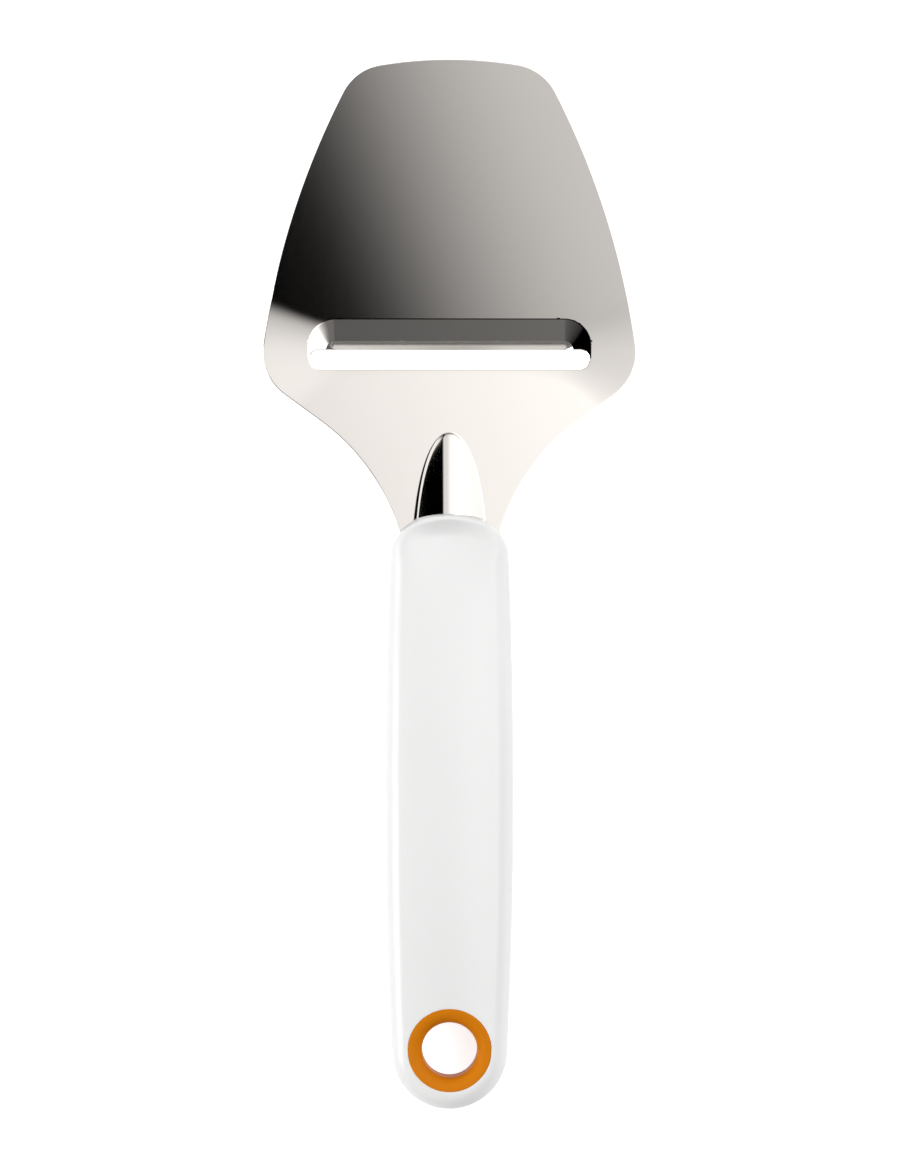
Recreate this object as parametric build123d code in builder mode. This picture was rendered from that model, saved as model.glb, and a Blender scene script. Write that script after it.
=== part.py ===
"""Cheese slicer: a stamped steel plate held by a moulded handle with a hanging ring.

The slicer lies on a table. X runs across the plate, Y runs from the tail of the handle (-) to the tip of the
paddle (+), and Z is up, with zero at the table. It rests on its cutting edge and on the belly of the handle.
"""

from build123d import *
from math import cos, radians, sin, tan
import os

# Overall sizes, mm
tip_y = 120.0

# Cutting blocks start this far below the table and are this tall; they pass the sheet by the margin
foot = 5.0
reach = 60.0
margin = 4.0

# Sheet and its side profile
sheet = 1.0
bend_y = 54.2
bend_radius = 70.0
rear_slope = 4.6
paddle_slope = 3.9

# Plate outline, from the middle of the tip round to the neck: radius and turn of each arc
tip_radius, tip_turn = 96.3, 9.53
shoulder_radius, shoulder_turn = 11.6, 53.07
side_radius, side_turn = 180.4, 19.33
ear_radius, ear_turn = 12.0, 61.79
ear_to_neck = 10.7
neck_radius, neck_turn = 48.6, 37.84

# Tang, inside the handle
tang_half_width = 9.5
tang_shoulder = 4.0
tang_end_y = -50.0
tang_corner = 5.0
tang_hole_radius = 2.5
tang_hole_ys = (-32.0, -43.0)

# Cutting lip: a drafted wall pressed down in front of the slot, then ground on top
lip_front_y = 60.7
lip_half_length = 32.4
lip_corner = 6.1
wall_foot_y = 55.75
wall_slope = 15.0
foot_half_length = 28.4
foot_corner = 2.0
edge_y = 53.75
grind_slope = 37.0
edge_land = 0.1

# Pierced slot
slot_half_length = 32.1
slot_rear_y = 49.15
slot_radius = (edge_y - slot_rear_y) / 2
slot_y = slot_rear_y + slot_radius

# Stiffening rib on the rear plate: part of a ring of round section, bent up through the sheet
rib_tip_y = 34.9
rib_half_run = 30.2
rib_section_radius = 11.5
rib_height = 3.4

# Handle outline, from the middle of the nose round to the tail: radius and turn of each arc
nose_y = 16.16
nose_radius, nose_turn = 22.4, 15.1
corner_radius, corner_turn = 10.5, 72.7
flank_front_radius, flank_front_turn = 1400.0, 2.2
flank_rear_radius, flank_rear_turn = 1222.0, 2.784

# Handle height over its length: station, belly height, back height, crown radius of belly and back
handle_stations = (
    (24.0, 2.10, 11.9, 56.0),
    (14.0, 1.58, 11.9, 56.0),
    (3.0, 1.08, 12.7, 52.0),
    (-12.0, 0.56, 15.2, 46.0),
    (-32.0, 0.12, 18.0, 42.0),
    (-52.0, 0.00, 18.9, 40.0),
    (-75.0, 0.22, 18.2, 42.0),
    (-98.0, 0.88, 15.8, 50.0),
    (-116.0, 1.68, 13.6, 60.0),
    (-128.0, 2.34, 12.2, 64.0),
)
stock_half = 17.0
handle_round = 3.2

# Shallow rest for the thumb behind the nose: a cross cylinder dipping into the back
rest_radius = 14.0
rest_depth = 0.45
rest_y = 11.0
back_at_rest = 12.0

# Handle core: it stays this far inside the belly and the back
core_half_width = 10.0
core_skin = 3.4
core_round = 2.5
core_front_y = -10.0
core_rear_y = -80.0

# Hanging ring
ring_y = -106.25
ring_outer_radius = 9.55
bore_radius = 6.3
ring_round = 2.4

os.makedirs("parts", exist_ok=True)

# Heights that follow from the side profile
wall_drop = (lip_front_y - wall_foot_y) * tan(radians(wall_slope))
sheet_drop = sheet / cos(radians(wall_slope))
edge_depth = (lip_front_y - edge_y) * tan(radians(wall_slope)) + sheet_drop
bend_rise = bend_radius * (1 - cos(radians(paddle_slope)))
bend_run = bend_radius * sin(radians(paddle_slope))
bend_low_z = edge_depth - sheet / 2 - bend_rise + (bend_run + bend_y - edge_y) * tan(radians(paddle_slope))

# The paddle's top face carries the lip; its plane passes through the front end of the bend
bend_front = Vector(0, bend_y + bend_run, bend_low_z + bend_rise)
paddle_normal = Vector(0, -sin(radians(paddle_slope)), cos(radians(paddle_slope)))
paddle_top = Plane(origin=bend_front + paddle_normal * (sheet / 2), x_dir=(1, 0, 0), z_dir=paddle_normal)
rear_run = bend_radius * sin(radians(rear_slope))
bend_rear = Vector(0, bend_y - rear_run, bend_low_z + bend_radius * (1 - cos(radians(rear_slope))))
rear_normal = Vector(0, sin(radians(rear_slope)), cos(radians(rear_slope)))
rear_top = Plane(origin=bend_rear + rear_normal * (sheet / 2), x_dir=(1, 0, 0), z_dir=rear_normal)


def on_paddle(y):
    """Distance along the paddle's top face of the line above world y."""
    return (y - paddle_top.origin.Y) / cos(radians(paddle_slope))


def on_rear(y):
    """Distance along the rear plate's top face of the line above world y."""
    return (y - rear_top.origin.Y) / cos(radians(rear_slope))


# Plan of the plate, as a tall block
with BuildPart() as plate_plan:
    with BuildSketch(Plane.XY):
        with BuildLine():
            tip = JernArc((0, tip_y), (1, 0), tip_radius, -tip_turn)
            shoulder = JernArc(tip @ 1, tip % 1, shoulder_radius, -shoulder_turn)
            side = JernArc(shoulder @ 1, shoulder % 1, side_radius, -side_turn)
            ear = JernArc(side @ 1, side % 1, ear_radius, -ear_turn)
            ear_end = (ear @ 1) + (ear % 1) * ear_to_neck
            Line(ear @ 1, ear_end)
            neck = JernArc(ear_end, ear % 1, neck_radius, neck_turn)
            tang_top = (tang_half_width, (neck @ 1).Y - tang_shoulder)
            tang_low = (tang_half_width, tang_end_y + tang_corner)
            Line(neck @ 1, tang_top)
            Line(tang_top, tang_low)
            tang_bend = JernArc(tang_low, (0, -1), tang_corner, -90)
            Line(tang_bend @ 1, (0, tang_end_y))
            mirror(about=Plane.YZ)
        make_face()
        with Locations(*[(0, y) for y in tang_hole_ys]):
            Circle(tang_hole_radius, mode=Mode.SUBTRACT)
    extrude(amount=reach)

# Block that pierces the slot, and the pocket that the lip is pressed into
with BuildPart() as slot_tool:
    with BuildSketch(Plane.XY.offset(-foot)):
        with Locations((0, slot_y)):
            SlotOverall(2 * slot_half_length, 2 * slot_radius)
    extrude(amount=reach)


def lip_outline(front, half_length, corner):
    """Rounded square with its front edge at a distance along the paddle; it reaches far past the slot."""
    with Locations((0, front - half_length)):
        RectangleRounded(2 * half_length, 2 * half_length, corner)


lip_line = on_paddle(lip_front_y)
foot_line = on_paddle(wall_foot_y)

with BuildPart() as pocket_tool:
    with BuildSketch(paddle_top.offset(-margin)):
        lip_outline(lip_line, lip_half_length, lip_corner)
        with Locations((0, on_paddle(slot_y) - lip_half_length)):
            Rectangle(4 * lip_half_length, 2 * lip_half_length, mode=Mode.SUBTRACT)
    extrude(amount=2 * margin)

# Rooms above the drafted wall: one down to the foot of the wall, one on down to the cutting edge
with BuildPart() as wall_room:
    with BuildSketch(paddle_top):
        lip_outline(lip_line, lip_half_length, lip_corner)
    with BuildSketch(paddle_top.offset(-wall_drop)):
        lip_outline(foot_line, foot_half_length, foot_corner)
    loft(ruled=True)
    with BuildSketch(paddle_top):
        lip_outline(lip_line, lip_half_length, lip_corner)
    extrude(amount=margin)

edge_share = (lip_front_y - edge_y) / (lip_front_y - wall_foot_y)
edge_half_length = lip_half_length - (lip_half_length - foot_half_length) * edge_share
edge_corner = lip_corner - (lip_corner - foot_corner) * edge_share

with BuildPart() as under_room:
    with BuildSketch(paddle_top):
        lip_outline(lip_line, lip_half_length, lip_corner)
    with BuildSketch(paddle_top.offset(-wall_drop * edge_share)):
        lip_outline(on_paddle(edge_y), edge_half_length, edge_corner)
    loft(ruled=True)

# Room above the ground bevel, which starts at the foot of the wall and ends just short of the cutting edge
bevel_run = wall_foot_y - edge_y - edge_land
bevel_drop = bevel_run * tan(radians(grind_slope))

with BuildPart() as bevel_room:
    with BuildSketch(paddle_top.offset(-wall_drop)):
        lip_outline(foot_line, foot_half_length, foot_corner)
    with BuildSketch(paddle_top.offset(-wall_drop - bevel_drop)):
        lip_outline(foot_line - bevel_run, foot_half_length - bevel_run, foot_corner - bevel_run)
    loft(ruled=True)

# Rib: the outer skin and the hollow under it are tori about one cross axis below the plate
rib_ring_radius = rib_half_run**2 / (2 * rib_height)
rib_middle = on_rear(rib_tip_y) - rib_half_run
rib_centre = rear_top.from_local_coords(Vector(0, rib_middle, rib_height - rib_ring_radius))
rib_plane = Plane(origin=rib_centre, x_dir=(0, 1, 0), z_dir=(1, 0, 0))

with BuildPart(rib_plane) as rib_hollow:
    Torus(rib_ring_radius - rib_section_radius, rib_section_radius - sheet)

with BuildPart(rib_plane) as rib_skin:
    Torus(rib_ring_radius - rib_section_radius, rib_section_radius)
    with BuildSketch(rear_top.offset(-sheet / 2)):
        with Locations((0, rib_middle)):
            Rectangle(4 * tang_half_width, 3 * rib_half_run)
    extrude(amount=2 * rib_height, mode=Mode.INTERSECT)

# Blade plate: the bent sheet in its outline, with the rib raised, the lip pressed down and the slot pierced
with BuildPart() as bent_sheet:
    with BuildSketch(Plane.YZ):
        with BuildLine():
            rear_end = bend_rear - rear_top.y_dir * 2 * reach
            rear_side = Line((rear_end.Y, rear_end.Z), (bend_rear.Y, bend_rear.Z))
            bend = JernArc(rear_side @ 1, rear_side % 1, bend_radius, rear_slope + paddle_slope)
            Line(bend @ 1, (bend @ 1) + (bend % 1) * 1.5 * reach)
        trace(line_width=sheet)
    extrude(amount=reach, both=True)
    add(plate_plan.part, mode=Mode.INTERSECT)
    add(rib_skin.part)
    add(rib_hollow.part, mode=Mode.SUBTRACT)
    add(pocket_tool.part, mode=Mode.SUBTRACT)

# The lip: a drafted wall one sheet thick, ground to an edge on top
with BuildPart() as lip:
    with BuildSketch(paddle_top.offset(-sheet_drop)):
        lip_outline(lip_line, lip_half_length, lip_corner)
    extrude(amount=sheet_drop)
    add(under_room.part.moved(Location(paddle_top.z_dir * -sheet_drop)))
    add(pocket_tool.part, mode=Mode.INTERSECT)
    add(wall_room.part, mode=Mode.SUBTRACT)
    add(bevel_room.part, mode=Mode.SUBTRACT)

with BuildPart() as blade_plate:
    add(bent_sheet.part)
    add(lip.part)
    add(slot_tool.part, mode=Mode.SUBTRACT)

# Plan of the handle, as a tall block
with BuildPart() as handle_plan:
    with BuildSketch(Plane.XY.offset(-foot)):
        with BuildLine():
            nose = JernArc((0, nose_y), (1, 0), nose_radius, -nose_turn)
            corner = JernArc(nose @ 1, nose % 1, corner_radius, -corner_turn)
            flank_front = JernArc(corner @ 1, corner % 1, flank_front_radius, -flank_front_turn)
            flank_rear = JernArc(flank_front @ 1, flank_front % 1, flank_rear_radius, -flank_rear_turn)
            tail_radius = (flank_rear @ 1).X / cos(radians(flank_rear_turn))
            JernArc(flank_rear @ 1, flank_rear % 1, tail_radius, flank_rear_turn - 90)
            mirror(about=Plane.YZ)
        make_face()
    extrude(amount=reach)

# Outer form of the handle: a crowned, arched bar in the handle's outline, with its edges rounded
with BuildPart() as handle_form:
    for y, belly, back, crown in handle_stations:
        drop = stock_half**2 / (2 * crown)
        with BuildSketch(Plane.XZ.offset(-y)):
            with BuildLine():
                top = ThreePointArc((-stock_half, back - drop), (0, back), (stock_half, back - drop))
                low = ThreePointArc((stock_half, belly + drop), (0, belly), (-stock_half, belly + drop))
                Line(top @ 1, low @ 0)
                Line(low @ 1, top @ 0)
            make_face()
    loft()
    add(handle_plan.part, mode=Mode.INTERSECT)
    fillet(handle_form.edges().filter_by(Axis.Z, reverse=True), handle_round)
    with BuildSketch(Plane.YZ):
        with Locations((rest_y, back_at_rest - rest_depth + rest_radius)):
            Circle(rest_radius)
    extrude(amount=stock_half, both=True, mode=Mode.SUBTRACT)

# Hanging ring: a liner through the tail, flush outside, with bell mouths round its bore
with BuildPart() as hang_ring:
    with BuildSketch(Plane.XY.offset(-foot)):
        with Locations((0, ring_y)):
            Circle(ring_outer_radius)
    extrude(amount=reach)
    add(handle_form.part, mode=Mode.INTERSECT)
    with BuildSketch(Plane.XY.offset(-foot)):
        with Locations((0, ring_y)):
            Circle(bore_radius)
    extrude(amount=reach, mode=Mode.SUBTRACT)
    mouths = hang_ring.edges().filter_by(lambda e: e.bounding_box().size.X < 2 * bore_radius + 0.1)
    fillet(mouths.filter_by(Axis.Z, reverse=True), ring_round)

# Core: a rounded bar about the tang, inside the grip
with BuildPart() as handle_core:
    core_stations = [station for station in handle_stations if core_rear_y < station[0] < core_front_y]
    for y, belly, back, _ in core_stations:
        with BuildSketch(Plane.XZ.offset(-y)):
            with Locations((0, (belly + back) / 2)):
                RectangleRounded(2 * core_half_width, back - belly - 2 * core_skin, core_round)
    loft()
    add(blade_plate.part, mode=Mode.SUBTRACT)

# Grip: the outer body, with room for the core, the tang, the rib and the ring
with BuildPart() as handle_grip:
    add(handle_form.part)
    add(handle_core.part, mode=Mode.SUBTRACT)
    add(blade_plate.part, mode=Mode.SUBTRACT)
    with BuildSketch(Plane.XY.offset(-foot)):
        with Locations((0, ring_y)):
            Circle(ring_outer_radius)
    extrude(amount=reach, mode=Mode.SUBTRACT)

blade_plate.part.label = "blade_plate"
handle_core.part.label = "handle_core"
handle_grip.part.label = "handle_grip"
hang_ring.part.label = "hang_ring"

export_step(blade_plate.part, "parts/blade_plate.step")
export_step(handle_core.part, "parts/handle_core.step")
export_step(handle_grip.part, "parts/handle_grip.step")
export_step(hang_ring.part, "parts/hang_ring.step")
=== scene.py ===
import math

import bpy
import numpy as np
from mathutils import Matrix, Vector
from mathutils.geometry import delaunay_2d_cdt
from mathutils.kdtree import KDTree


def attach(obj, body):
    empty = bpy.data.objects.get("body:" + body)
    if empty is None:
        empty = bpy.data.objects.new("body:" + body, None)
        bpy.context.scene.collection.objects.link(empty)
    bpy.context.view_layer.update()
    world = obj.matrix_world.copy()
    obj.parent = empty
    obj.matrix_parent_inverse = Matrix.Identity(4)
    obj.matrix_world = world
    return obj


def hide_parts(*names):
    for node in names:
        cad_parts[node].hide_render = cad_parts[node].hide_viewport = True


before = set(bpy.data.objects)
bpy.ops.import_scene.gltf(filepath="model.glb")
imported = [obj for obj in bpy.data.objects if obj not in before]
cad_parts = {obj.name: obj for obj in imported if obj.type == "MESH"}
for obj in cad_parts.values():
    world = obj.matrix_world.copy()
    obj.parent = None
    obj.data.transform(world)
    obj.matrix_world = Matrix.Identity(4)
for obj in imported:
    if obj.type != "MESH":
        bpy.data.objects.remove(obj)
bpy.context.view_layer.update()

# The slicer lies on the table: X runs across the plate, Y from the handle's tail to the paddle's tip, Z up.
# Shapes are worked out in millimetres and made in metres.
MM = 0.001

# Camera straight above; the picture's height covers VIEW_HEIGHT of the plane at VIEW_PLANE_Z
VIEW_HEIGHT = 269.2
VIEW_DISTANCE = 1200.0
VIEW_PLANE_Z = 7.0
VIEW_CENTRE = (0.1, -1.0)
CLIP_END = 10000.0
SENSOR_WIDTH = 36.0

# Sheet and its side profile; the bend fans out into the ears
SHEET = 1.0
BEND_Y = 54.2
BEND_RADIUS = 70.0
PADDLE_ANGLE = 3.9
REAR_ANGLE = 4.6
EAR_X = 27.6
EAR_EASE = 6.1
EAR_SPREAD_FRONT = 0.5
EAR_SPREAD_REAR = 1.14

# Plate outline from the middle of the tip: radius and turn to the right of each arc
TIP = (0.0, 120.0)
PLATE_ARCS = ((96.3, 9.53), (11.6, 53.07), (180.4, 19.33), (12.0, 61.79))
EAR_TO_NECK = 10.7
NECK_ARC = (48.6, -37.84)
TANG_HALF_WIDTH = 9.5
TANG_SHOULDER = 4.0
TANG_END_Y = -50.0
TANG_CORNER = 5.0
TANG_HOLE_RADIUS = 2.5
TANG_HOLE_YS = (-43.0, -32.0)

# Edge rounding of the plate: its radius, and the most of the thickness that it takes on each side
PLATE_ROUND = 0.2
ROUND_SHARE = 0.42

# Cutting lip: a drafted wall below a crease, ground along its edge; it fades into the sheet at its ends
LIP_FRONT_Y = 60.7
LIP_HALF = 32.4
LIP_CORNER = 6.1
FOOT_Y = 55.75
FOOT_HALF = 28.4
FOOT_CORNER = 2.0
WALL_ANGLE = 15.0
GRIND_ANGLE = 37.0
EDGE_Y = 53.75
LIP_FADE = (51.2, 52.8)
LIP_REACH = 4.0
CREASE_BLEND = 0.06
GRIND_BLEND = 0.02

# Slot
SLOT_HALF = 32.1
SLOT_REAR_Y = 49.15

# Stiffening rib: part of a ring of round section, with a rounded foot and a soft shoulder above it
RIB_TIP_Y = 34.9
RIB_HALF_RUN = 30.2
RIB_SECTION = 11.5
RIB_HEIGHT = 3.4
RIB_FOOT_RADIUS = 0.65
RIB_SHOULDER = 0.1
RIB_SHOULDER_RUN = 0.8
RIB_STEEPEST = 2.0

# Handle outline from the middle of the nose
NOSE = (0.0, 16.4)
HANDLE_ARCS = ((22.4, 15.1), (10.5, 72.7), (1400.0, 2.21), (1222.0, 2.784))

# Handle height over its length: station, belly height, back height, crown radius
HANDLE_STATIONS = (
    (-128.0, 2.34, 12.2, 64.0),
    (-116.0, 1.68, 13.6, 60.0),
    (-98.0, 0.88, 15.8, 50.0),
    (-75.0, 0.22, 18.2, 42.0),
    (-52.0, 0.00, 18.88, 40.0),
    (-32.0, 0.12, 18.0, 42.0),
    (-12.0, 0.56, 15.2, 46.0),
    (3.0, 1.08, 12.7, 52.0),
    (14.0, 1.58, 12.0, 56.0),
    (24.0, 2.10, 12.0, 56.0),
)

# Edge rounding of the handle along its flanks and at its nose, which has a drafted front face
FLANK_ROUND = 3.7
BELLY_ROUND = 3.2
NOSE_ROUND = 0.9
NOSE_BELLY_ROUND = 2.2
ROUND_CHANGE = (3.0, 14.5)
NOSE_DRAFT = 0.7
DRAFT_START = (8.0, 14.0)
DRAFT_RISE = 7.0
WALL_RISE = 0.3

# Thumb rest: it starts behind the nose's rim, falls over its run and fades out further back
REST_START = 1.8
REST_RUN = 3.9
REST_FADE = 22.0
REST_DEPTH = 2.0
REST_HALF_WIDTH = 10.5
REST_SIDE_POWER = 1.5

# Hanging ring
RING_Y = -106.25
RING_OUTER = 9.55
RING_BORE = 6.3
MOUTH_DEPTH = 2.7
SEAM_ROUND = 0.18

# Values that follow from the ones above
PADDLE_SLOPE = math.tan(math.radians(PADDLE_ANGLE))
REAR_SLOPE = math.tan(math.radians(REAR_ANGLE))
REAR_COS = math.cos(math.radians(REAR_ANGLE))
BEND_HALF = BEND_RADIUS * (math.sin(math.radians(PADDLE_ANGLE)) + math.sin(math.radians(REAR_ANGLE))) / 2
BEND_MID_Y = BEND_Y + BEND_RADIUS * math.tan(math.radians((PADDLE_ANGLE - REAR_ANGLE) / 2))
WALL_SLOPE = math.tan(math.radians(WALL_ANGLE))
WALL_DROP = (LIP_FRONT_Y - FOOT_Y) * WALL_SLOPE
WALL_SHEET = SHEET / math.cos(math.radians(WALL_ANGLE))
EDGE_DEPTH = (LIP_FRONT_Y - EDGE_Y) * WALL_SLOPE + WALL_SHEET
GRIND_SLOPE = math.tan(math.radians(GRIND_ANGLE))
SLOT_RADIUS = (EDGE_Y - SLOT_REAR_Y) / 2
SLOT_Y = SLOT_REAR_Y + SLOT_RADIUS
RIB_RING = RIB_HALF_RUN**2 / (2 * RIB_HEIGHT)

# Mesh: length of a step along arcs and lines, and steps across the rounded edges
ARC_STEP = 0.7
LINE_STEP = 1.0
SLOT_STEP = 0.25
GRIP_STEP = 0.9
RING_STEP = 0.5
PLATE_RIM_STEPS = 3
GRIP_RIM_STEPS = 10

# Mesh: rows beside the lip's crease, down its wall, above its foot and over the bevel, and at the rib's foot
CREASE_ROWS = (-0.42, -0.3, -0.22, -0.15, -0.08, 0.0, 0.08, 0.15, 0.22, 0.3, 0.42)
WALL_ROWS = (0.2, 0.35, 0.5, 0.65, 0.8, 0.9)
FOOT_ROWS = (-0.1, -0.05)
BEVEL_ROWS = (0.0, 0.05, 0.1, 0.4, 0.8, 1.2, 1.6)
BEVEL_END = 1.5
FRONT_POINTS = 30
CORNER_POINTS = 14
SIDE_POINTS = 8
RIB_ROWS = (-0.75, -0.55, -0.4, -0.3, -0.2, -0.1, 0.0, 0.1, 0.2, 0.3, 0.4, 0.55, 0.75)
RIB_POINTS = 119

# Mesh: grids of the plate, their areas (x limit, first y, last y), and the room they leave at edges and rows
COARSE_GRID = 1.0
RIB_GRID = 0.45
EAR_GRID = 0.6
RIB_AREA = (9.5, 4.0, RIB_TIP_Y + 1.5)
EAR_AREA = (26.0, 44.0, 68.0)
PLATE_GRID_START = TANG_END_Y + 0.7
PLATE_REACH = 43.0
EDGE_ROOM = 0.45
ROW_ROOM = 0.42
SLOT_ROOM = 0.1
PLATE_KEEP_OFF = 0.2

# Mesh: grids of the grip and their areas (x reach, first y, last y); the thumb rest has a finer one
GRIP_GRID = 0.9
GRIP_AREA = (15.0, -119.0, 16.0)
REST_GRID = (0.6, 0.3)
REST_AREA = (12.0, 5.0, 15.6)
REST_STAGGER = 0.3
REST_OFFSET = 0.05
HOLE_ROOM = 0.5
GRIP_KEEP_OFF = 0.4

# Mesh: steps over the ring's seam and mouth, and around it
SEAM_STEPS = 4
MOUTH_STEPS = 18
RING_STEPS = 144

# Tolerances, and least values that keep roots and quotients off zero outside the shapes
TOUCH = 1e-9
SAME_POINT = 1e-7
TINY = 1e-6
LEAST_BLEND = 1e-4
LEAST_CORNER = 0.05
LEAST_SQUARE = 1.0

# Step over which a slope is measured, and the search for a level of the lip's wall
SLOPE_STEP = 1e-3
LEVEL_RANGE = (-1.5, 1.45)
LEVEL_HALVINGS = 40

# Rib: how far its shoulder counts outside the foot, the strip at its sides without it, and its height there
SHOULDER_REACH = -0.3
RIB_SIDE_ROOM = 0.05
NO_RIB = -9.0

# Colours, linear
STEEL_BASE = (0.755, 0.718, 0.682)
GROUND_BASE = (0.57, 0.555, 0.54)
GRIP_BASE = (0.87, 0.87, 0.865)
RING_BASE = (0.675, 0.205, 0.004)
CORE_BASE = (0.55, 0.55, 0.54)

# Noise in the materials: its detail, and the range of its value that changes the gloss
GRAIN_DETAIL = 3.0
MOTTLE_DETAIL = 2.0
GRAIN_RANGE = (0.3, 0.7)

# Floor, in metres, and its tones: its colour, and the lift that the camera and reflections see
FLOOR_HALF = 4.0
FLOOR_Z = -0.00005
FLOOR_TONE = 0.66
FLOOR_LIFT = 0.83

# Studio light by direction: x to the right, y to the front, z up. A pair says where a soft edge starts and
# ends, and a level, gain or lift is brightness.
WORLD_LEVEL = 1.08
# Card overhead: a dark left edge across the slant's direction, then a slow gain
CARD_SLANT = (0.931, 0.365)
CARD_EDGE, CARD_LEVEL = (-0.0495, -0.004), 0.62
CARD_SWEEP, CARD_GAIN = (-0.010, 0.10), 0.63
CARD_FRONT, CARD_LIFT = (-0.05, 0.06), 0.06
# Wide light overhead on the right, weaker towards the floor
RIGHT_EDGE = (0.06, 0.24)
RIGHT_HEIGHT, RIGHT_LEVEL = (0.52, 0.85), 2.8
RIGHT_LOW, RIGHT_LOW_LEVEL = (0.05, 0.2), 1.25
# Long light in front, grey at its left end
FRONT_START = (0.2, 0.3)
FRONT_END = (0.95, 0.55)
FRONT_LEFT = (-0.27, -0.20)
FRONT_GREY, FRONT_LEVELS = (-0.12, 0.06), (0.88, 1.3)
FRONT_RIGHT = (0.0, 0.2)
FRONT_HEIGHT = (0.02, 0.12)
FRONT_FLOOR = (0.0, 0.3)
# Black on the left
BLACK_EDGE = (-0.30, -0.24)
# Dim room behind the handle, lighter high up on the right
ROOM_LEFT, ROOM_LEVEL = (-0.5, -0.04), 0.11
ROOM_MIDDLE, ROOM_GAIN = (-0.04, 0.04), 0.075
ROOM_END = (-0.36, -0.43)
ROOM_SIDE = (0.1, 0.2)
ROOM_LEFT_START = (-0.20, -0.12)
ROOM_RIGHT_START = (-0.55, -0.25)
SIDE_INNER, SIDE_INNER_LEVEL = (0.33, 0.47), 0.5
SIDE_OUTER, SIDE_OUTER_LEVEL = (0.42, 0.62), 0.6
SIDE_END = (-0.66, -0.5)
SIDE_HEIGHT = (0.5, 0.7)
# Low strip along the left, and a weaker light round the corner in front under a slanted edge
STRIP_TOP = (0.52, 0.40)
STRIP_FOOT = (0.06, 0.12)
STRIP_EDGE, STRIP_LEVEL = (-0.62, -0.78), 9.4
STRIP_REAR = (-0.45, -0.20)
STRIP_FRONT = (0.20, 0.14)
CORNER_LEAN = 1.84
CORNER_TOP, CORNER_LEVEL = (-0.225, -0.27), 1.1
CORNER_LEFT = (-0.25, -0.45)
CORNER_FRONT = (0.75, 0.60)
# Haze over the floor beyond the handle's end
HAZE_HEIGHT, HAZE_LEVEL = (0.55, 0.12), 0.23
HAZE_REAR = (-0.5, -0.8)
HAZE_LEFT = (-0.75, -0.35)
HAZE_RIGHT = (0.5, 0.2)
# Grey walls all round, with a black gap on the left in front
WALLS_TOP = (0.62, 0.50)
WALLS_SIDE, WALLS_LEVELS = (0.0, 0.3), (0.28, 0.15)
GAP_SIDE = (-0.05, -0.20)
GAP_REAR = (0.06, 0.14)
GAP_FRONT = (0.58, 0.50)


def smooth_min(a, b, k):
    """Lower of two heights, with the crease between them rounded over a height of k."""
    return np.minimum(a, b) - np.maximum(k - np.abs(a - b), 0.0) ** 2 / (4 * k)


def smooth_max(a, b, k):
    """Higher of two heights, with the crease between them rounded over a height of k."""
    return np.maximum(a, b) + np.maximum(k - np.abs(a - b), 0.0) ** 2 / (4 * k)


def ease(low, high, value):
    """0 below low, 1 above high, with a smooth step between."""
    t = np.clip((value - low) / (high - low), 0.0, 1.0)
    return t * t * (3 - 2 * t)


def between(start, end, share):
    """Value at a share of the way from start to end."""
    return start + (end - start) * share


def point_tree(points):
    """Search tree over points in plan."""
    tree = KDTree(len(points))
    for index, point in enumerate(points):
        tree.insert((point[0], point[1], 0.0), index)
    tree.balance()
    return tree


class Outline:
    """Half outline in plan, right of the middle: arcs and lines that run on from one another.

    It starts along +X, with the material on its right, and keeps the outward normal of each point.
    """

    def __init__(self, start):
        self.heading = 0.0
        self.points = [np.array(start, float)]
        self.normals = [self.outward()]

    def outward(self):
        """Unit vector away from the material at the present heading."""
        return np.array([-math.sin(self.heading), math.cos(self.heading)])

    def put(self, point):
        self.points.append(point)
        self.normals.append(self.outward())

    def arc(self, radius, turn, step=ARC_STEP):
        """Tangent arc that turns right by turn degrees, or left where it is negative."""
        count = max(2, math.ceil(radius * math.radians(abs(turn)) / step))
        way = math.copysign(1.0, turn)
        centre = self.points[-1] - way * radius * self.outward()
        first = self.heading
        for i in range(1, count + 1):
            self.heading = first - math.radians(turn) * i / count
            self.put(centre + way * radius * self.outward())
        return self

    def line(self, to, step=LINE_STEP):
        """Straight line to a point."""
        start, end = self.points[-1], np.array(to, float)
        along = end - start
        self.heading = math.atan2(along[1], along[0])
        count = max(1, math.ceil(np.linalg.norm(along) / step))
        for i in range(1, count + 1):
            self.put(start + along * i / count)
        return self

    def run(self, length):
        """Straight line on along the present heading."""
        ahead = np.array([math.cos(self.heading), math.sin(self.heading)])
        return self.line(self.points[-1] + ahead * length)

    def arrays(self):
        return np.array(self.points), np.array(self.normals)


# Heights of the plate

def paddle_plane(y):
    """Height of the paddle's top plane."""
    return EDGE_DEPTH + (y - EDGE_Y) * PADDLE_SLOPE


def bent_sheet(x, y):
    """Top of the bent sheet, without lip and rib."""
    out = np.abs(x) - EAR_X
    spread = (out + np.sqrt(out * out + EAR_EASE**2)) / 2
    front = BEND_HALF + EAR_SPREAD_FRONT * spread
    rear = BEND_HALF + EAR_SPREAD_REAR * spread
    u = y - BEND_MID_Y
    turn = PADDLE_SLOPE + REAR_SLOPE
    ahead = turn * rear / (front * (front + rear)) * (front - u) ** 2 / 2
    behind = turn * front / (rear * (front + rear)) * (rear + u) ** 2 / 2 - turn * u
    lift = np.where(u > front, 0.0, np.where(u > 0, ahead, np.where(u > -rear, behind, -turn * u)))
    return paddle_plane(BEND_MID_Y) + PADDLE_SLOPE * u + lift


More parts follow.
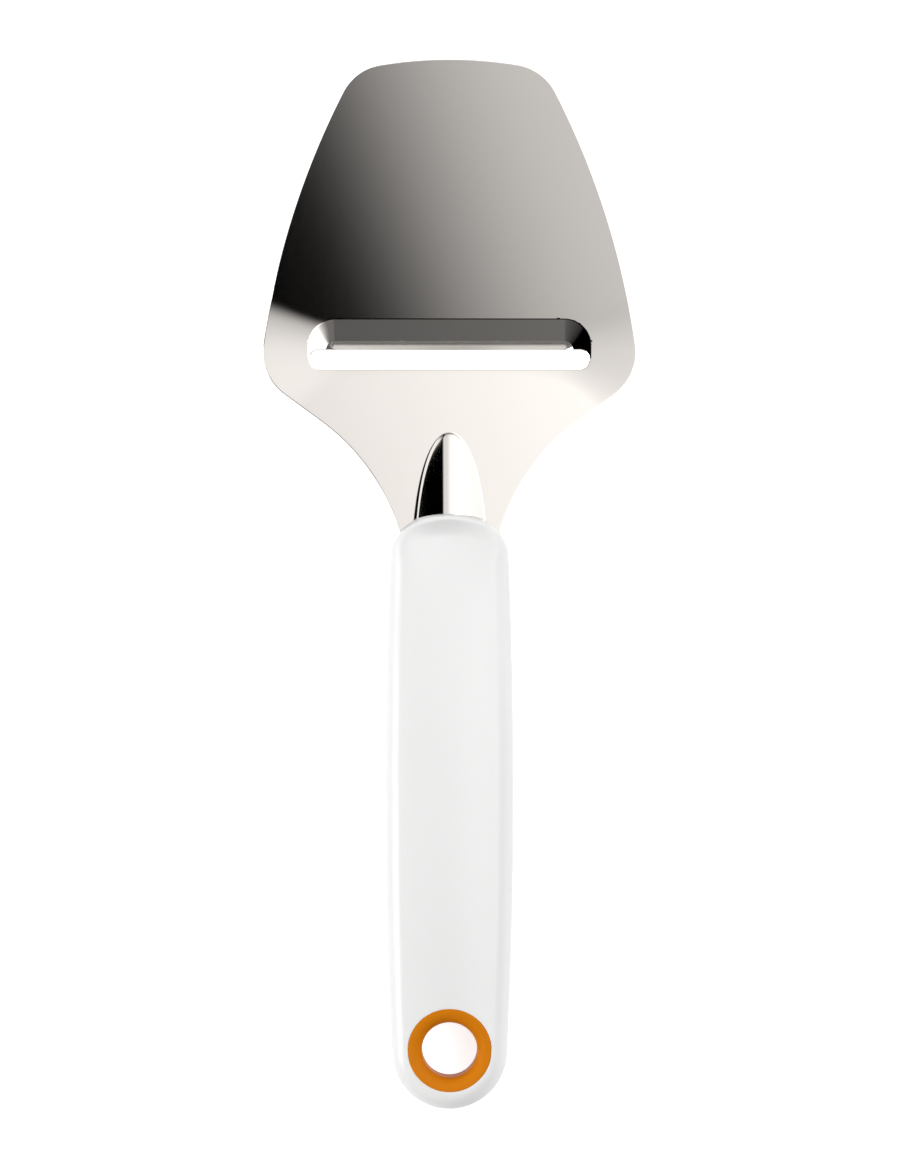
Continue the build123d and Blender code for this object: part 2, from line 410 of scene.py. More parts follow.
def rib(x, y, under):
    """Height of the rib's skin above the rear plane, and its slope against that plane."""
    radius = RIB_SECTION - under * SHEET
    v = (y - RIB_TIP_Y) / REAR_COS + RIB_HALF_RUN
    across = np.sqrt(np.maximum(radius**2 - x * x, TINY))
    arm = RIB_RING - RIB_SECTION + across
    height = np.sqrt(np.maximum(arm * arm - v * v, LEAST_SQUARE)) - (RIB_RING - RIB_HEIGHT)
    slope = np.minimum(np.hypot(x / across, v / arm), RIB_STEEPEST)
    inward = np.clip(height / slope / RIB_SHOULDER_RUN, SHOULDER_REACH, 1.0)
    height = height + RIB_SHOULDER * (1 - (1 - inward) ** 2)
    slope = slope + 2 * RIB_SHOULDER / RIB_SHOULDER_RUN
    return np.where(np.abs(x) < radius - RIB_SIDE_ROOM, height, NO_RIB), slope


def rounded_square(x, y, front, half, corner):
    """Signed distance from a square with its front edge at front, rounded at its corners."""
    qx = np.abs(x) - (half - corner)
    qy = y - (front - corner)
    outside = np.hypot(np.maximum(qx, 0.0), np.maximum(qy, 0.0))
    return outside + np.minimum(np.maximum(qx, qy), 0.0) - corner


def lip_outline(level):
    """Front edge, half length and corner radius of the lip at a level of its wall."""
    return (
        between(LIP_FRONT_Y, FOOT_Y, level),
        between(LIP_HALF, FOOT_HALF, level),
        between(LIP_CORNER, FOOT_CORNER, level),
    )


def lip_level(x, y):
    """0 on the lip's crease, 1 at the foot of its wall, on a straight slope between and beyond."""
    low, high = (np.full_like(x, end) for end in LEVEL_RANGE)
    for _ in range(LEVEL_HALVINGS):
        middle = (low + high) / 2
        front, half, corner = lip_outline(middle)
        beyond = rounded_square(x, y, front, half, np.maximum(corner, LEAST_CORNER)) > 0
        high = np.where(beyond, middle, high)
        low = np.where(beyond, low, middle)
    return (low + high) / 2


def pressed_sheet(x, y, base, under):
    """Height of the sheet near the lip, with the wall pressed down and its edge ground on top."""
    level = lip_level(x, y)
    plane = paddle_plane(y)
    share = np.clip(level, 0.0, 1.0)
    wall = (base + (plane - base) * share) - WALL_DROP * level
    fade = ease(*LIP_FADE, y)
    if under:
        drop = SHEET + (WALL_SHEET - SHEET) * share
        pressed = smooth_min(base - SHEET, wall - drop, 2 * CREASE_BLEND)
        return base - SHEET + (pressed - base + SHEET) * fade
    inward = -rounded_square(x, y, FOOT_Y, FOOT_HALF, FOOT_CORNER)
    ground = plane - WALL_DROP - inward * GRIND_SLOPE
    pressed = smooth_min(smooth_min(base, wall, CREASE_BLEND), ground, GRIND_BLEND)
    return base + (pressed - base) * fade


def plate_height(x, y, under=False):
    """Height of the plate's top, or of its underside."""
    base = bent_sheet(x, y)
    skin, slope = rib(x, y, under)
    blend = np.maximum((RIB_FOOT_RADIUS + under * SHEET) * slope**2 / 2, LEAST_BLEND)
    z = base + smooth_max(-SHEET * under, skin, blend) / REAR_COS
    near = (y > LIP_FADE[0]) & (y < LIP_FRONT_Y + LIP_REACH) & (np.abs(x) < LIP_HALF + LIP_REACH)
    if near.any():
        z[near] = pressed_sheet(x[near], y[near], base[near], under)
    return z


# Heights of the handle

def through_stations(y, column):
    """Natural cubic spline through one column of the handle's stations."""
    ys = np.array([station[0] for station in HANDLE_STATIONS])
    zs = np.array([station[column] for station in HANDLE_STATIONS])
    gaps = np.diff(ys)
    count = len(ys)
    system = np.eye(count)
    right = np.zeros(count)
    for i in range(1, count - 1):
        system[i, i - 1 : i + 2] = gaps[i - 1], 2 * (gaps[i - 1] + gaps[i]), gaps[i]
        right[i] = 6 * ((zs[i + 1] - zs[i]) / gaps[i] - (zs[i] - zs[i - 1]) / gaps[i - 1])
    curve = np.linalg.solve(system, right)
    i = np.clip(np.searchsorted(ys, y) - 1, 0, count - 2)
    gap, a, b = gaps[i], (ys[i + 1] - y) / gaps[i], (y - ys[i]) / gaps[i]
    bend = ((a**3 - a) * curve[i] + (b**3 - b) * curve[i + 1]) * gap**2 / 6
    return a * zs[i] + b * zs[i + 1] + bend


def nose_distance(x, y):
    """Distance in from the handle's nose, along the handle."""
    radius = HANDLE_ARCS[0][0]
    return NOSE[1] - radius + np.sqrt(radius**2 - x * x) - y


def rest_fall(x, y):
    """How far the thumb rest falls below the handle's back."""
    inward = nose_distance(x, y) - REST_START
    share = np.clip(inward / REST_RUN, 0.0, 1.0)
    down = (3 * share - share**3) / 2
    back = 1 - ease(REST_RUN, REST_FADE, inward)
    across = np.clip(1 - (x / REST_HALF_WIDTH) ** 2, 0.0, 1.0) ** REST_SIDE_POWER
    return REST_DEPTH * down * back * across


def handle_height(x, y, under=False):
    """Height of the handle's back, or of its belly, before its edges are rounded."""
    crown = through_stations(y, 3)
    drop = crown - np.sqrt(np.maximum(crown**2 - x * x, LEAST_SQUARE))
    if under:
        return through_stations(y, 1) + drop
    return through_stations(y, 2) - drop - rest_fall(x, y)


def normals_of(height, plan, under):
    """Unit normals of a height field, pointing out of the solid."""
    x, y = plan[:, 0], plan[:, 1]
    gx = (height(x + SLOPE_STEP, y, under) - height(x - SLOPE_STEP, y, under)) / (2 * SLOPE_STEP)
    gy = (height(x, y + SLOPE_STEP, under) - height(x, y - SLOPE_STEP, under)) / (2 * SLOPE_STEP)
    n = np.column_stack([-gx, -gy, np.ones_like(x)])
    if under:
        n = -n
    return n / np.linalg.norm(n, axis=1)[:, None]


# Meshes

def mesh_object(name, points, faces, normals, materials, tags=None):
    """Smooth mesh in metres from points in millimetres, with its exact normals.

    tags give the number of each face's material.
    """
    mesh = bpy.data.meshes.new(name)
    mesh.from_pydata((np.asarray(points) * MM).tolist(), [], faces)
    for material in materials:
        mesh.materials.append(material)
    if tags is not None:
        mesh.polygons.foreach_set("material_index", tags)
    mesh.validate()
    mesh.shade_smooth()
    mesh.normals_split_custom_set_from_vertices(np.asarray(normals).tolist())
    piece = bpy.data.objects.new(name, mesh)
    bpy.context.scene.collection.objects.link(piece)
    return piece


def triangulate(polygon, inner, keep_off):
    """Triangles inside a polygon through its corners and the inner points that keep off its edge."""
    tree = point_tree(polygon)
    kept = [p for p in inner if p[0] < TOUCH or tree.find((p[0], p[1], 0.0))[2] > keep_off]
    points = [Vector((float(x), float(y))) for x, y in [*polygon, *kept]]
    ring = list(range(len(polygon)))
    verts, _, faces, origins, _, _ = delaunay_2d_cdt(points, [], [ring], 1, SAME_POINT)
    place = {old: new for new, olds in enumerate(origins) for old in olds}
    plan = np.array([(v[0], v[1]) for v in verts])
    return plan, [tuple(f) for f in faces], [place[i] for i in ring]


class Shell:
    """Closed mesh between a top and an underside over a half plan, mirrored about the middle."""

    def __init__(self):
        self.points, self.normals, self.faces, self.tags = [], [], [], []

    def add(self, points, normals):
        """Add points, and say at which number they start."""
        first = sum(len(p) for p in self.points)
        self.points.append(np.asarray(points))
        self.normals.append(np.asarray(normals))
        return first

    def face(self, corners, tag=0):
        """Add a face, unless its corners coincide."""
        if len(set(corners)) > 2:
            self.faces.append(tuple(corners))
            self.tags.append(tag)

    def cap(self, height, polygon, inner, keep_off, under, tag_of):
        """Add the top or the underside, and give the numbers of its edge points."""
        plan, triangles, ring = triangulate(polygon, inner, keep_off)
        z = height(plan[:, 0], plan[:, 1], under)
        first = self.add(np.column_stack([plan, z]), normals_of(height, plan, under))
        for corners in triangles:
            a, b, c = (plan[i] for i in corners)
            turn = (b[0] - a[0]) * (c[1] - a[1]) - (b[1] - a[1]) * (c[0] - a[0])
            ordered = corners if (turn > 0) != under else corners[::-1]
            tag = 0 if tag_of is None or under else tag_of((a + b + c) / 3)
            self.face([first + i for i in ordered], tag)
        return [first + i for i in ring]

    def rim(self, height, place, outward, fall, angle, under):
        """Add one row of a rounded edge, turned by an angle from the face to the side."""
        z = height(place[:, 0], place[:, 1], under) + fall * (1 if under else -1)
        out = np.column_stack([outward, np.zeros(len(place))])
        n = normals_of(height, place, under) * math.cos(angle) + out * math.sin(angle)
        n /= np.linalg.norm(n, axis=1)[:, None]
        start = self.add(np.column_stack([place, z]), n)
        return list(range(start, start + len(place)))

    def mirrored(self):
        """Points, normals, faces and tags of the whole shell; points in the middle are shared."""
        points = np.vstack(self.points)
        normals = np.vstack(self.normals)
        count = len(points)
        middle = np.abs(points[:, 0]) < TINY
        twin = np.where(middle, np.arange(count), count + np.cumsum(~middle) - 1)
        flip = (-1, 1, 1)
        faces = self.faces + [tuple(int(twin[i]) for i in reversed(f)) for f in self.faces]
        return (
            np.vstack([points, points[~middle] * flip]),
            np.vstack([normals, normals[~middle] * flip]),
            faces,
            self.tags + self.tags,
        )


def plan_shell(height, loops, rounds, inner, keep_off, rim_steps, tag_of=None, drafts=None):
    """Shell over a half plan.

    loops are (points, outward normals) that follow one another round the half plan. At each point of them,
    rounds(points, under) gives the rounding radius of the edge, and drafts(points) the width of the drafted
    face below the top's rounding. tag_of(point) gives the material of a triangle of the top.
    """
    shell = Shell()
    rims = []
    for under in (False, True):
        drafted = drafts is not None and not under
        edges = []
        for points, normals in loops:
            width = drafts(points) if drafted else np.zeros(len(points))
            edges.append((points, normals, rounds(points, under), width))
        polygon = np.vstack([p - n * (radius + width)[:, None] for p, n, radius, width in edges])
        ring = shell.cap(height, polygon, inner, keep_off, under, tag_of)
        cuts = np.cumsum([len(points) for points, _ in loops])
        rows = [[ring[cut - len(points) : cut] for (points, _), cut in zip(loops, cuts)]]
        for step in range(1, rim_steps + 1 + drafted):
            angle = math.pi / 2 * min(step / rim_steps, 1.0)
            row = []
            for points, normals, radius, width in edges:
                inset = radius * (1 - math.sin(angle)) + (width if step <= rim_steps else 0.0)
                fall = radius * (1 - math.cos(angle))
                if step > rim_steps:
                    fall = fall + width * DRAFT_RISE + WALL_RISE
                row.append(shell.rim(height, points - normals * inset[:, None], normals, fall, angle, under))
            rows.append(row)
        rims.append(rows)
    chain = rims[0] + rims[1][::-1]
    for upper, lower in zip(chain, chain[1:]):
        for top, low in zip(upper, lower):
            for i in range(len(top) - 1):
                shell.face((top[i + 1], low[i + 1], low[i], top[i]))
    return shell.mirrored()


def plate_loops():
    """Outer outline of the plate, the tang's holes and the slot."""
    outer = Outline(TIP)
    for radius, turn in PLATE_ARCS:
        outer.arc(radius, turn)
    outer.run(EAR_TO_NECK).arc(*NECK_ARC)
    shoulder_y = outer.points[-1][1] - TANG_SHOULDER
    outer.line((TANG_HALF_WIDTH, shoulder_y)).line((TANG_HALF_WIDTH, TANG_END_Y + TANG_CORNER))
    outer.arc(TANG_CORNER, 90.0).line((0.0, TANG_END_Y))
    loops = [outer.arrays()]
    for y in TANG_HOLE_YS:
        loops.append(Outline((0.0, y - TANG_HOLE_RADIUS)).arc(TANG_HOLE_RADIUS, -180.0).arrays())
    slot = Outline((0.0, SLOT_REAR_Y))
    slot.line((SLOT_HALF - SLOT_RADIUS, SLOT_REAR_Y)).arc(SLOT_RADIUS, -180.0, SLOT_STEP).line((0.0, EDGE_Y))
    loops.append(slot.arrays())
    return loops


PLATE_LOOPS = plate_loops()
PLATE_POINTS = np.vstack([points for points, _ in PLATE_LOOPS])
PLATE_NORMALS = np.vstack([normals for _, normals in PLATE_LOOPS])
PLATE_TREE = point_tree(PLATE_POINTS)


def outline_room(x, y):
    """Signed room to the plate's edges: positive inside the sheet."""
    _, index, distance = PLATE_TREE.find((x, y, 0.0))
    inside = (PLATE_POINTS[index] - (x, y)) @ PLATE_NORMALS[index]
    return distance if inside > 0 else -distance


def slot_distance(x, y):
    """Distance from the slot's edge, negative inside the slot."""
    return math.hypot(max(abs(x) - (SLOT_HALF - SLOT_RADIUS), 0.0), y - SLOT_Y) - SLOT_RADIUS


def plate_rounds(points, under):
    """Edge rounding of the plate: small, and less where the lip is ground thin."""
    x, y = points[:, 0], points[:, 1]
    thickness = plate_height(x, y, False) - plate_height(x, y, True)
    return np.minimum(PLATE_ROUND, ROUND_SHARE * np.maximum(thickness, 0.0))


def lip_row(front, half, corner, end_y):
    """Points along one outline of the lip, from the middle round the corner and down the side."""
    row = [((half - corner) * i / FRONT_POINTS, front) for i in range(FRONT_POINTS)]
    for i in range(CORNER_POINTS + 1):
        a = math.pi / 2 * (1 - i / CORNER_POINTS)
        row.append((half - corner + corner * math.cos(a), front - corner + corner * math.sin(a)))
    side = front - corner - end_y
    row += [(half, front - corner - side * i / SIDE_POINTS) for i in range(1, SIDE_POINTS + 1)]
    return row


def lip_rows():
    """Rows of points along the lip's crease, wall, foot and bevel, clear of the slot."""
    run = LIP_FRONT_Y - FOOT_Y
    levels = [d / run for d in CREASE_ROWS] + list(WALL_ROWS) + [1 + d / run for d in FOOT_ROWS]
    rows = []
    for level in levels:
        rows += lip_row(*lip_outline(level), LIP_FADE[0])
    for d in BEVEL_ROWS:
        rows += lip_row(FOOT_Y - d, FOOT_HALF - d, FOOT_CORNER - d, EDGE_Y - BEVEL_END)
    return [p for p in rows if slot_distance(*p) > SLOT_ROOM]


def rib_rows():
    """Rows of points along the rib's foot, close together where the foot is rounded."""
    rows = []
    for i in range(RIB_POINTS + 1):
        v = RIB_HALF_RUN * math.sin(math.pi / 2 * (1 - i / RIB_POINTS))
        across = math.hypot(RIB_RING - RIB_HEIGHT, v) - (RIB_RING - RIB_SECTION)
        x = math.sqrt(max(RIB_SECTION**2 - across**2, 0.0))
        normal = np.array([x / RIB_SECTION, v / RIB_RING])
        normal /= np.linalg.norm(normal)
        foot = np.array([x, RIB_TIP_Y + (v - RIB_HALF_RUN) * REAR_COS])
        for offset in RIB_ROWS:
            p = foot + normal * offset
            if p[0] > -TOUCH:
                rows.append((max(p[0], 0.0), p[1]))
    return rows


def rib_area(x, y):
    """Whether a place is in the finer grid round the rib's tip and foot."""
    return x < RIB_AREA[0] and RIB_AREA[1] < y < RIB_AREA[2]


def ear_area(x, y):
    """Whether a place is in the finer grid of the ear, where the bend fans out."""
    return x > EAR_AREA[0] and EAR_AREA[1] < y < EAR_AREA[2]


def coarse_area(x, y):
    """Whether a place is in the coarse grid."""
    return not rib_area(x, y) and not ear_area(x, y)


def plate_inner():
    """Points inside the plate: rows that follow the lip and the rib's foot, and a grid between them."""
    features = lip_rows() + rib_rows()
    tree = point_tree(features)
    grid = []
    for spacing, region in ((COARSE_GRID, coarse_area), (RIB_GRID, rib_area), (EAR_GRID, ear_area)):
        for y in np.arange(PLATE_GRID_START, TIP[1], spacing):
            for x in np.arange(0.0, PLATE_REACH, spacing):
                if region(x, y) and outline_room(x, y) > EDGE_ROOM:
                    if tree.find((x, y, 0.0))[2] > ROW_ROOM * spacing:
                        grid.append((x, y))
    return features + grid


# Node trees

class Tree:
    """Short way to write a node tree."""

    def __init__(self, owner):
        owner.use_nodes = True
        self.tree = owner.node_tree
        self.tree.nodes.clear()

    def node(self, kind, settings=None, **inputs):
        """Add a node. Inputs go by name, with _ for a space, or by number, as in i0."""
        made = self.tree.nodes.new(kind)
        for name, value in (settings or {}).items():
            setattr(made, name, value)
        for name, value in inputs.items():
            key = int(name[1:]) if name[1:].isdigit() else name.replace("_", " ")
            if isinstance(value, bpy.types.NodeSocket):
                self.tree.links.new(value, made.inputs[key])
            else:
                made.inputs[key].default_value = value
        return made

    def chain(self, operation, first, *others):
        """One operation over all values in turn."""
        for other in others:
            first = self.node("ShaderNodeMath", {"operation": operation}, i0=first, i1=other).outputs[0]
        return first

    def total(self, *values):
        return self.chain("ADD", *values)

    def product(self, *values):
        return self.chain("MULTIPLY", *values)

    def most(self, *values):
        return self.chain("MAXIMUM", *values)

    def difference(self, first, other):
        return self.chain("SUBTRACT", first, other)

    def step(self, value, edge, low=0.0, high=1.0, kind="SMOOTHSTEP"):
        """Value mapped from the edge's start and end to low and high, with eased ends."""
        made = self.node(
            "ShaderNodeMapRange",
            {"interpolation_type": kind},
            Value=value,
            From_Min=edge[0],
            From_Max=edge[1],
            To_Min=low,
            To_Max=high,
        )
        return made.outputs[0]

    def ramp(self, value, edge, low=0.0, high=1.0):
        """Value mapped in a straight line, and held beyond its ends."""
        return self.step(value, edge, low, high, "LINEAR")

    def mix(self, share, first, second):
        """First value where share is 0, second where it is 1."""
        made = self.node("ShaderNodeMix", {"data_type": "FLOAT"}, i0=share, i2=first, i3=second)
        return made.outputs[0]

    def noise(self, where, scale, detail, stretch=(1, 1, 1)):
        mapping = self.node("ShaderNodeMapping", Vector=where, Scale=stretch)
        made = self.node("ShaderNodeTexNoise", Vector=mapping.outputs[0], Scale=scale, Detail=detail)
        return made.outputs[0]


def surface(name, base, roughness, grain, relief, mottle, depth, swing, shade, stretch=(1, 1, 1), **shader):
    """Material with a faint mottle in its colour and a fine grain in its gloss and its relief.

    grain and mottle are scales, relief and depth are the strength and the height of the bump, swing is the
    share by which the roughness changes, and shade is the darkest share of the base colour.
    """
    material = bpy.data.materials.new(name)
    t = Tree(material)
    where = t.node("ShaderNodeTexCoord").outputs["Object"]
    grains = t.noise(where, grain, GRAIN_DETAIL, stretch)
    tint = t.node(
        "ShaderNodeMix",
        {"data_type": "RGBA"},
        i0=t.noise(where, mottle, MOTTLE_DETAIL),
        i6=(*[c * shade for c in base], 1.0),
        i7=(*base, 1.0),
    )
    bump = t.node("ShaderNodeBump", Strength=relief, Distance=depth, Height=grains)
    made = t.node(
        "ShaderNodeBsdfPrincipled",
        Base_Color=tint.outputs[2],
        Roughness=t.ramp(grains, GRAIN_RANGE, roughness * (1 - swing), roughness * (1 + swing)),
        Normal=bump.outputs[0],
        **shader,
    )
    t.node("ShaderNodeOutputMaterial", Surface=made.outputs[0])
    return material


def steel(name, base, roughness, grain, relief, stretch):
    """Stainless steel with fine grinding lines, long along the axes whose stretch is small."""
    look = {"mottle": 60.0, "depth": 0.00002, "swing": 0.04, "shade": 0.985}
    return surface(name, base, roughness, grain, relief, stretch=stretch, Metallic=1.0, **look)


def plastic(name, base, roughness, grain, relief, shade=0.985, gloss=0.5):
    """Moulded plastic with a fine grain from the mould."""
    look = {"mottle": 45.0, "depth": 0.00003, "swing": 0.1, "shade": shade}
    return surface(name, base, roughness, grain, relief, Specular_IOR_Level=gloss, **look)


# Pieces

def ground(point):
    """1 for the bevel that is ground along the cutting edge, 0 elsewhere."""
    x, y = point
    if not (SLOT_Y < y < FOOT_Y and abs(x) < FOOT_HALF):
        return 0
    level = rounded_square(np.array([x]), np.array([y]), FOOT_Y, FOOT_HALF, FOOT_CORNER)
    return int(level[0] < 0)


def make_plate():
    """The stamped plate."""
    sheet = steel(
        "sheet_steel", STEEL_BASE, roughness=0.05, grain=2400.0, relief=0.004, stretch=(1.0, 0.04, 0.04)
    )
    bevel = steel(
        "ground_steel", GROUND_BASE, roughness=0.13, grain=2600.0, relief=0.04, stretch=(1.0, 0.06, 0.06)
    )
    points, normals, faces, tags = plan_shell(
        plate_height,
        PLATE_LOOPS,
        plate_rounds,
        plate_inner(),
        PLATE_KEEP_OFF,
        PLATE_RIM_STEPS,
        tag_of=ground,
    )
    piece = mesh_object("plate", points, faces, normals, [sheet, bevel], tags)
    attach(piece, "root")
    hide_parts("blade_plate")


def grip_loops():
    """Outer outline of the handle, and the hole for the ring."""
    outer = Outline(NOSE)
    for radius, turn in HANDLE_ARCS:
        outer.arc(radius, turn, GRIP_STEP)
    turned = math.degrees(-outer.heading)
    tail_radius = outer.points[-1][0] / math.cos(math.radians(turned - 90.0))
    outer.arc(tail_radius, 180.0 - turned)
    hole = Outline((0.0, RING_Y - RING_OUTER)).arc(RING_OUTER, -180.0, RING_STEP)
    for outline in (outer, hole):
        outline.points[-1][0] = 0.0
    return [outer.arrays(), hole.arrays()]


def grip_rounds(points, under):
    """Edge rounding of the grip: full along the flanks, tighter at the nose, a hair at the ring's hole."""
    x, y = points[:, 0], points[:, 1]
    flank = BELLY_ROUND if under else FLANK_ROUND
    nose = NOSE_BELLY_ROUND if under else NOSE_ROUND
    size = nose + (flank - nose) * (1 - ease(*ROUND_CHANGE, y))
    hole = np.hypot(x, y - RING_Y) < RING_OUTER + HOLE_ROOM
    return np.where(hole, SEAM_ROUND, size)


def grip_drafts(points):
    """Width of the drafted front face, seen from above: full across the nose, nothing along the flanks."""
    return NOSE_DRAFT * ease(*DRAFT_START, points[:, 1])


def grip_inner():
    """Points inside the grip: a grid, and a finer one under the thumb rest."""
    reach, first, last = GRIP_AREA
    inner = [(x, y) for y in np.arange(first, last, GRIP_GRID) for x in np.arange(0.0, reach, GRIP_GRID)]
    reach, first, last = REST_AREA
    for y in np.arange(first, last, REST_GRID[1]):
        # Rows at an odd tenth of a millimetre are shifted
        shift = REST_STAGGER * (int(y * 10) % 2)
        inner += [(x + shift, y + REST_OFFSET) for x in np.arange(0.0, reach, REST_GRID[0])]
    return [p for p in inner if math.hypot(p[0], p[1] - RING_Y) >= RING_OUTER + HOLE_ROOM]


def make_grip():
    """The white body of the handle."""
    white = plastic("grip_white", GRIP_BASE, roughness=0.30, grain=2600.0, relief=0.04)
    points, normals, faces, _ = plan_shell(
        handle_height,
        grip_loops(),
        grip_rounds,
        grip_inner(),
        GRIP_KEEP_OFF,
        GRIP_RIM_STEPS,
        drafts=grip_drafts,
    )
    piece = mesh_object("grip", points, faces, normals, [white])
    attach(piece, "root")
    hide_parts("handle_grip")


def ring_profile():
    """Half of the ring's section, from its seam over its mouth into the bore.

    Each row is the radius, the fall below the handle's face, and how far the normal leans away from the axis.
    """
    rows = []
    for i in range(SEAM_STEPS):
        a = math.pi / 2 * (1 - i / SEAM_STEPS)
        rows.append((RING_OUTER - SEAM_ROUND * (1 - math.sin(a)), SEAM_ROUND * (1 - math.cos(a)), a))
    mouth = RING_OUTER - RING_BORE - SEAM_ROUND
    for i in range(MOUTH_STEPS + 1):
        a = math.pi / 2 * i / MOUTH_STEPS
        lean = -math.atan2(MOUTH_DEPTH * math.sin(a), mouth * math.cos(a))
        rows.append((RING_BORE + mouth * (1 - math.sin(a)), MOUTH_DEPTH * (1 - math.cos(a)), lean))
    return rows


def make_ring():
    """The orange liner of the hanging hole: flush with the handle, with bell mouths into its bore."""
    orange = plastic(
        "ring_orange", RING_BASE, roughness=0.42, grain=2600.0, relief=0.06, shade=0.96, gloss=0.06
    )
    rows = ring_profile()
    count = 2 * len(rows)
    points, normals, faces = [], [], []
    for k in range(RING_STEPS):
        angle = 2 * math.pi * k / RING_STEPS
        out = np.array([math.cos(angle), math.sin(angle), 0.0])
        for under, half in ((False, rows), (True, rows[::-1])):
            for radius, fall, lean in half:
                x, y = out[0] * radius, out[1] * radius + RING_Y
                plan = np.array([[x, y]])
                z = handle_height(plan[:, 0], plan[:, 1], under)[0] + (fall if under else -fall)
                n = normals_of(handle_height, plan, under)[0] * math.cos(lean) + out * math.sin(lean)
                points.append((x, y, z))
                normals.append(n / np.linalg.norm(n))
        a, b = k * count, (k + 1) % RING_STEPS * count
        for i in range(count):
            j = (i + 1) % count
            faces.append((b + i, b + j, a + j, a + i))
    piece = mesh_object("ring", points, faces, normals, [orange])
    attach(piece, "root")
    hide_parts("hang_ring")


def dress_core():
    """The core keeps its CAD mesh."""
    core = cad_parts["handle_core"]
    core.data.materials.clear()
    core.data.materials.append(
        plastic("core_grey", CORE_BASE, roughness=0.55, grain=1800.0, relief=0.15)
    )


# Stage

def make_floor():
    """Plain pale floor that keeps the object's shadow."""
    mesh = bpy.data.meshes.new("floor")
    ways = ((-1, -1), (1, -1), (1, 1), (-1, 1))
    mesh.from_pydata([(FLOOR_HALF * x, FLOOR_HALF * y, FLOOR_Z) for x, y in ways], [], [(0, 1, 2, 3)])
    floor = bpy.data.objects.new("floor", mesh)
    bpy.context.scene.collection.objects.link(floor)
    material = bpy.data.materials.new("pale_floor")
    t = Tree(material)
    rays = t.node("ShaderNodeLightPath").outputs
    seen = t.most(rays["Is Camera Ray"], rays["Is Glossy Ray"], rays["Is Transmission Ray"])
    lift = t.product(seen, FLOOR_LIFT)
    paper = t.node("ShaderNodeBsdfDiffuse", Color=(FLOOR_TONE, FLOOR_TONE, FLOOR_TONE, 1.0))
    glow = t.node("ShaderNodeEmission", Color=(1, 1, 1, 1), Strength=lift)
    both = t.node("ShaderNodeAddShader", i0=paper.outputs[0], i1=glow.outputs[0])
    t.node("ShaderNodeOutputMaterial", Surface=both.outputs[0])
    mesh.materials.append(material)


def overhead_light(t, dx, dy, dz):
    """Card above the slicer and the wide light on its right."""
    slant = t.total(t.product(dx, CARD_SLANT[0]), t.product(dy, CARD_SLANT[1]))
    card = t.total(
        t.step(slant, CARD_EDGE, 0.0, CARD_LEVEL),
        t.ramp(slant, CARD_SWEEP, 0.0, CARD_GAIN),
        t.step(dy, CARD_FRONT, 0.0, CARD_LIFT),
    )
    low = t.step(dy, RIGHT_LOW, 0.0, RIGHT_LOW_LEVEL)
    right = t.mix(t.step(dz, RIGHT_HEIGHT), low, RIGHT_LEVEL)
    return t.mix(t.step(dx, RIGHT_EDGE), card, right)


def front_light(t, dx, dy, dz, overhead):
    """Long light in front; on the right it goes on as the overhead light."""
    light = t.product(t.step(dx, FRONT_LEFT), t.step(dx, FRONT_GREY, *FRONT_LEVELS))
    light = t.most(light, t.product(overhead, t.step(dx, FRONT_RIGHT)))
    off_floor = t.most(t.step(dz, FRONT_HEIGHT), t.step(dx, FRONT_FLOOR))
    return t.product(light, t.step(dy, FRONT_END), off_floor)


def room_light(t, dx, dy, dz):
    """Dim room behind the handle, lighter high up on the right."""
    room = t.total(t.ramp(dx, ROOM_LEFT, 0.0, ROOM_LEVEL), t.step(dx, ROOM_MIDDLE, 0.0, ROOM_GAIN))
    side = t.total(
        t.step(dx, SIDE_INNER, 0.0, SIDE_INNER_LEVEL),
        t.step(dx, SIDE_OUTER, 0.0, SIDE_OUTER_LEVEL),
    )
    side = t.product(side, t.step(dy, SIDE_END), t.step(dz, SIDE_HEIGHT))
    return t.total(t.product(room, t.step(dy, ROOM_END)), side)


def low_light(t, dx, dy, dz):
    """Low strip along the left, and the weaker light round the corner in front."""
    strip = t.product(
        t.step(dz, STRIP_TOP),
        t.step(dz, STRIP_FOOT),
        t.step(dx, STRIP_EDGE, 0.0, STRIP_LEVEL),
        t.step(dy, STRIP_REAR),
        t.step(dy, STRIP_FRONT),
    )
    edge = t.difference(dz, t.product(dy, CORNER_LEAN))
    corner = t.product(
        t.step(edge, CORNER_TOP, 0.0, CORNER_LEVEL),
        t.step(dx, CORNER_LEFT),
        t.step(dy, CORNER_FRONT),
    )
    return t.most(strip, corner)


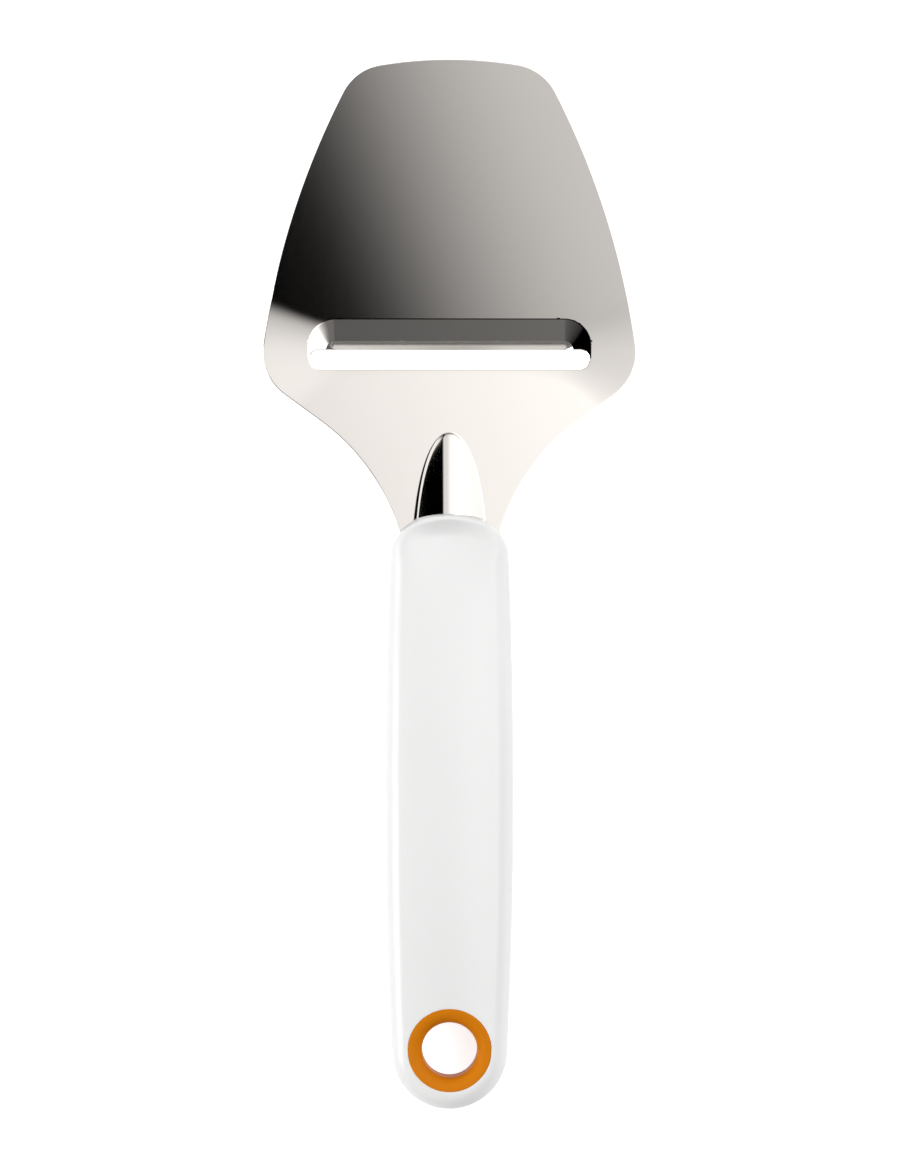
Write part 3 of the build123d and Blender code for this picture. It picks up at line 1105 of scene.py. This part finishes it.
def haze_and_walls(t, dx, dy, dz):
    """Haze over the floor beyond the handle's end, and grey walls with a black gap."""
    haze = t.product(
        t.step(dz, HAZE_HEIGHT, 0.0, HAZE_LEVEL),
        t.step(dy, HAZE_REAR),
        t.step(dx, HAZE_LEFT),
        t.step(dx, HAZE_RIGHT),
    )
    gap = t.product(t.step(dx, GAP_SIDE), t.step(dy, GAP_REAR), t.step(dy, GAP_FRONT))
    walls = t.product(t.step(dz, WALLS_TOP), t.step(dx, WALLS_SIDE, *WALLS_LEVELS), t.difference(1.0, gap))
    return t.most(haze, walls)


def make_world():
    """Studio light by direction, with soft zones and dark gaps for the steel; the camera sees plain white."""
    world = bpy.data.worlds.new("studio")
    bpy.context.scene.world = world
    t = Tree(world)
    way = t.node("ShaderNodeTexCoord").outputs["Generated"]
    dx, dy, dz = t.node("ShaderNodeSeparateXYZ", Vector=way).outputs
    lit = overhead_light(t, dx, dy, dz)
    lit = t.mix(t.step(dy, FRONT_START), lit, front_light(t, dx, dy, dz, lit))
    lit = t.product(lit, t.step(dx, BLACK_EDGE))
    near = t.mix(t.step(dx, ROOM_SIDE), t.step(dy, ROOM_LEFT_START), t.step(dy, ROOM_RIGHT_START))
    lit = t.mix(near, room_light(t, dx, dy, dz), lit)
    light = t.most(lit, low_light(t, dx, dy, dz), haze_and_walls(t, dx, dy, dz))
    seen = t.node("ShaderNodeLightPath").outputs["Is Camera Ray"]
    level = t.mix(seen, t.product(light, WORLD_LEVEL), 1.0)
    glow = t.node("ShaderNodeBackground", Color=(1, 1, 1, 1), Strength=level)
    t.node("ShaderNodeOutputWorld", Surface=glow.outputs[0])


def make_camera():
    """Camera straight above, with the photograph's framing."""
    data = bpy.data.cameras.new("camera")
    data.sensor_width = SENSOR_WIDTH
    data.lens = SENSOR_WIDTH * VIEW_DISTANCE / VIEW_HEIGHT
    data.clip_end = CLIP_END * MM
    camera = bpy.data.objects.new("camera", data)
    camera.location = Vector((*VIEW_CENTRE, VIEW_DISTANCE + VIEW_PLANE_Z)) * MM
    bpy.context.scene.collection.objects.link(camera)
    bpy.context.scene.camera = camera


make_plate()
make_grip()
make_ring()
dress_core()
make_floor()
make_world()
make_camera()
bpy.context.scene.view_settings.view_transform = "Standard"
